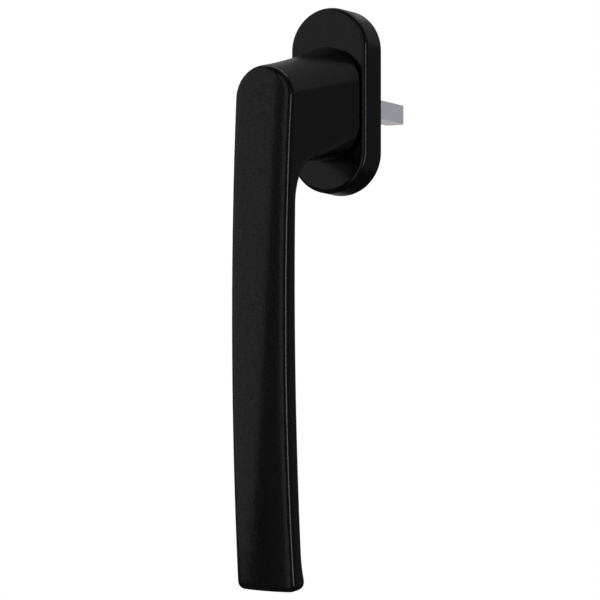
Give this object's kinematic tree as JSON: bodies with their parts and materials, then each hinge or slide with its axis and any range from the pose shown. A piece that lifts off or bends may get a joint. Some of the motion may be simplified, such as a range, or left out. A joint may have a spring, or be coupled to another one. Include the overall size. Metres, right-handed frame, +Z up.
{
  "type": "window handle",
  "caption": "Black lever handle of a tilt-and-turn window: bowed grip, flared neck, oval rosette and square spindle.",
  "frame": {"origin": "on the spindle axis, in the plane of the sash face that the rosette sits on", "axes": "+Y along the spindle into the sash, -Y to the room, +Z up, the grip hangs towards -Z when closed"},
  "size_m": [0.0286, 0.108, 0.1879],
  "materials": {
    "black_coating": "satin black powder coat on an aluminium casting",
    "zinc_plated_steel": "bright zinc plated steel",
    "spring_steel": "oiled spring steel",
    "hardened_steel": "hardened and ground",
    "bearing_steel": "polished",
    "zinc_casting": "raw die-cast zinc alloy",
    "white_acetal": "natural acetal",
    "black_acetal": "black acetal, matt"
  },
  "bodies": {
    "base": {"base_plate": "zinc_casting", "neck_bush": "white_acetal", "cover_clip_upper": "spring_steel", "cover_clip_lower": "spring_steel", "clip_rivet_upper": "zinc_plated_steel", "clip_rivet_lower": "zinc_plated_steel", "detent_spring_upper": "spring_steel", "detent_spring_lower": "spring_steel"},
    "lever": {"lever": "black_coating", "spindle": "zinc_plated_steel", "spindle_pin": "spring_steel", "detent_disc": "hardened_steel", "circlip": "spring_steel", "retaining_washer": "zinc_plated_steel", "spring_washer": "spring_steel"},
    "cover": {"cover": "black_coating", "glide_ring": "black_acetal"},
    "ball_upper": {"detent_ball_upper": "bearing_steel"},
    "ball_lower": {"detent_ball_lower": "bearing_steel"}
  },
  "joints": [
    {"name": "lever_turn", "type": "hinge", "parent": "base", "child": "lever", "pos_m": [0, 0, 0], "axis": [0, 1, 0], "continuous": true},
    {"name": "cover_lift", "type": "slide", "parent": "base", "child": "cover", "axis": [0, -1, 0], "range_m": [0, 0.0018]},
    {"name": "detent_upper", "type": "slide", "parent": "base", "child": "ball_upper", "axis": [0, -1, 0], "range_m": [0, 0.0004], "stiffness_N_per_m": 2000, "springref_m": 0.0009, "deforming": ["detent_spring_upper"]},
    {"name": "detent_lower", "type": "slide", "parent": "base", "child": "ball_lower", "axis": [0, -1, 0], "range_m": [0, 0.0004], "stiffness_N_per_m": 2000, "springref_m": 0.0009, "deforming": ["detent_spring_lower"]}
  ]
}
